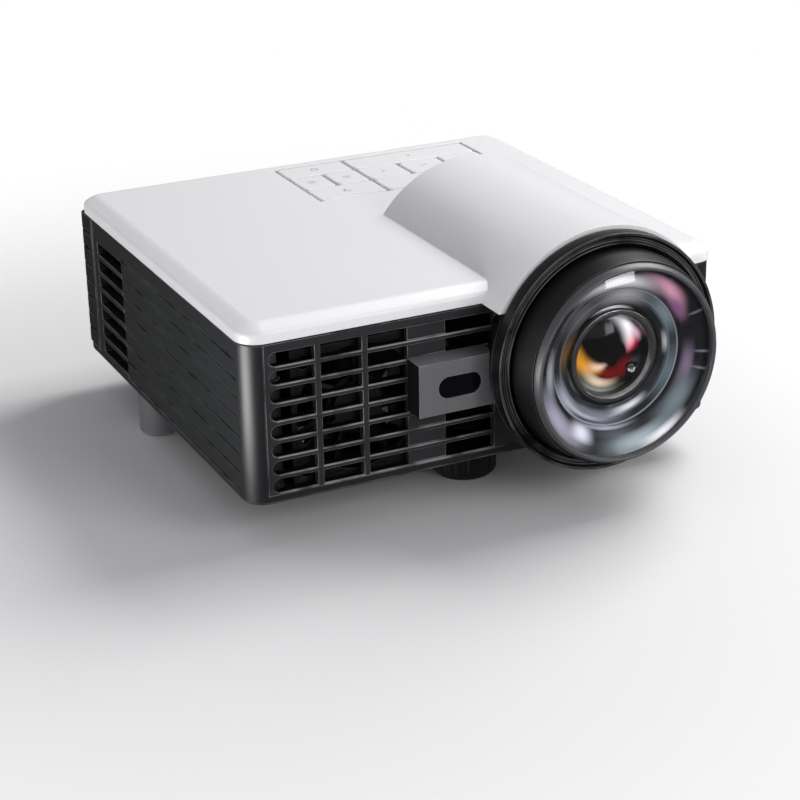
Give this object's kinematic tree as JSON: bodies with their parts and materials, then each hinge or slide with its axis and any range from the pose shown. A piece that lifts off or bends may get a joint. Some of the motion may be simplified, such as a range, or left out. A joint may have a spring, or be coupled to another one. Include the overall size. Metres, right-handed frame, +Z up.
{
  "type": "short-throw projector",
  "caption": "Compact short-throw projector: vented dark case, pale cover with a hump over a wide lens, focus ring, sensor housing, top keypad and rear sockets.",
  "frame": {"origin": "on the floor, at the middle of the whole outline", "axes": "+X to the right seen from the front, +Y to the back, +Z up; the lens looks along -Y"},
  "size_m": [0.112, 0.124, 0.0609],
  "materials": {
    "case_black": "fine spark texture, satin",
    "cover_white": "smooth, soft gloss",
    "key_white": "smooth, soft gloss",
    "trim_black": "satin",
    "barrel_black": "satin anodised",
    "rim_grey": "turned",
    "smoked_window": "polished",
    "lens_glass": "coated, polished",
    "amber_glass": "amber coating, polished",
    "foot_rubber": "matt",
    "foot_grey": "satin",
    "engine_metal": "cast, matt",
    "sink_metal": "extruded",
    "copper": "drawn",
    "board_green": "solder mask",
    "ribbon_white": "film",
    "fan_black": "satin",
    "steel": "machined",
    "socket_metal": "bright",
    "socket_black": "moulded",
    "insert_brass": "turned"
  },
  "bodies": {
    "case": {"lower_case": "case_black", "top_cover": "cover_white", "front_grille": "case_black", "rear_panel": "case_black", "sensor_housing": "case_black", "ir_window": "smoked_window", "ir_receiver": "smoked_window", "lens_collar": "trim_black", "lens_tube": "engine_metal", "light_engine_housing": "engine_metal", "light_engine_lid": "engine_metal", "prism": "lens_glass", "dichroic_mirrors": "lens_glass", "collimator_lenses": "lens_glass", "imaging_board": "board_green", "imaging_heat_sink": "sink_metal", "red_led_board": "board_green", "green_led_board": "board_green", "blue_led_board": "board_green", "led_heat_sink": "sink_metal", "heat_pipe": "copper", "main_board": "board_green", "keypad_board": "board_green", "keypad_ribbon": "ribbon_white", "intake_fan_frame": "fan_black", "exhaust_fan_frame": "fan_black", "speaker": "fan_black", "power_jack": "socket_black", "sound_jack": "socket_black", "video_socket": "socket_metal", "data_socket": "socket_metal", "wide_socket": "socket_metal", "card_slot": "socket_metal", "foot_insert": "insert_brass", "rear_feet": "foot_grey", "tripod_insert": "insert_brass", "case_screws": "steel", "inner_screws": "steel"},
    "focus_ring": {"focus_ring": "trim_black"},
    "lens_group": {"lens_barrel": "barrel_black", "lens_rim": "rim_grey", "front_glass": "lens_glass", "lens_baffle": "barrel_black", "inner_glass": "amber_glass", "lens_retainer": "rim_grey", "rear_glass": "lens_glass"},
    "intake_rotor": {"intake_fan_rotor": "fan_black"},
    "exhaust_rotor": {"exhaust_fan_rotor": "fan_black"},
    "foot_screw": {"front_foot_screw": "steel"},
    "foot_wheel": {"front_foot_wheel": "foot_rubber"},
    "power_key": {"power_key": "key_white"},
    "source_key": {"source_key": "key_white"},
    "menu_key": {"menu_key": "key_white"},
    "back_key": {"back_key": "key_white"},
    "up_key": {"up_key": "key_white"},
    "left_key": {"left_key": "key_white"},
    "enter_key": {"enter_key": "key_white"},
    "right_key": {"right_key": "key_white"},
    "down_key": {"down_key": "key_white"}
  },
  "joints": [
    {"name": "focus_turn", "type": "hinge", "parent": "case", "child": "focus_ring", "pos_m": [0.02215, -0.051, 0.0337], "axis": [0, -1, 0], "range_deg": [-60, 60]},
    {"name": "focus_slide", "type": "slide", "parent": "case", "child": "lens_group", "axis": [0, -1, 0], "range_m": [-0.0008, 0.0008]},
    {"name": "intake_spin", "type": "hinge", "parent": "case", "child": "intake_rotor", "pos_m": [-0.03, -0.0354, 0.027], "axis": [0, 1, 0], "continuous": true},
    {"name": "exhaust_spin", "type": "hinge", "parent": "case", "child": "exhaust_rotor", "pos_m": [-0.0494, 0.042, 0.027], "axis": [-1, 0, 0], "continuous": true},
    {"name": "foot_extend", "type": "slide", "parent": "case", "child": "foot_screw", "axis": [0, 0, -1], "range_m": [-0.00199, 0.00499]},
    {"name": "foot_turn", "type": "hinge", "parent": "foot_screw", "child": "foot_wheel", "pos_m": [0.002, -0.025, 0.003], "axis": [0, 0, -1], "range_deg": [-720, 1800]},
    {"name": "power_press", "type": "slide", "parent": "case", "child": "power_key", "axis": [0, 0, -1], "range_m": [0, 0.0004], "stiffness_N_per_m": 400, "springref_m": -0.0005},
    {"name": "source_press", "type": "slide", "parent": "case", "child": "source_key", "axis": [0, 0, -1], "range_m": [0, 0.0004], "stiffness_N_per_m": 400, "springref_m": -0.0005},
    {"name": "menu_press", "type": "slide", "parent": "case", "child": "menu_key", "axis": [0, 0, -1], "range_m": [0, 0.0004], "stiffness_N_per_m": 400, "springref_m": -0.0005},
    {"name": "back_press", "type": "slide", "parent": "case", "child": "back_key", "axis": [0, 0, -1], "range_m": [0, 0.0004], "stiffness_N_per_m": 400, "springref_m": -0.0005},
    {"name": "up_press", "type": "slide", "parent": "case", "child": "up_key", "axis": [0, 0, -1], "range_m": [0, 0.0004], "stiffness_N_per_m": 400, "springref_m": -0.0005},
    {"name": "left_press", "type": "slide", "parent": "case", "child": "left_key", "axis": [0, 0, -1], "range_m": [0, 0.0004], "stiffness_N_per_m": 400, "springref_m": -0.0005},
    {"name": "enter_press", "type": "slide", "parent": "case", "child": "enter_key", "axis": [0, 0, -1], "range_m": [0, 0.0004], "stiffness_N_per_m": 400, "springref_m": -0.0005},
    {"name": "right_press", "type": "slide", "parent": "case", "child": "right_key", "axis": [0, 0, -1], "range_m": [0, 0.0004], "stiffness_N_per_m": 400, "springref_m": -0.0005},
    {"name": "down_press", "type": "slide", "parent": "case", "child": "down_key", "axis": [0, 0, -1], "range_m": [0, 0.0004], "stiffness_N_per_m": 400, "springref_m": -0.0005}
  ],
  "couplings": [
    {"joint": "focus_turn", "follows": "focus_slide", "rad_per_m": 1315.8},
    {"joint": "foot_turn", "follows": "foot_extend", "rad_per_m": 6289.3}
  ]
}
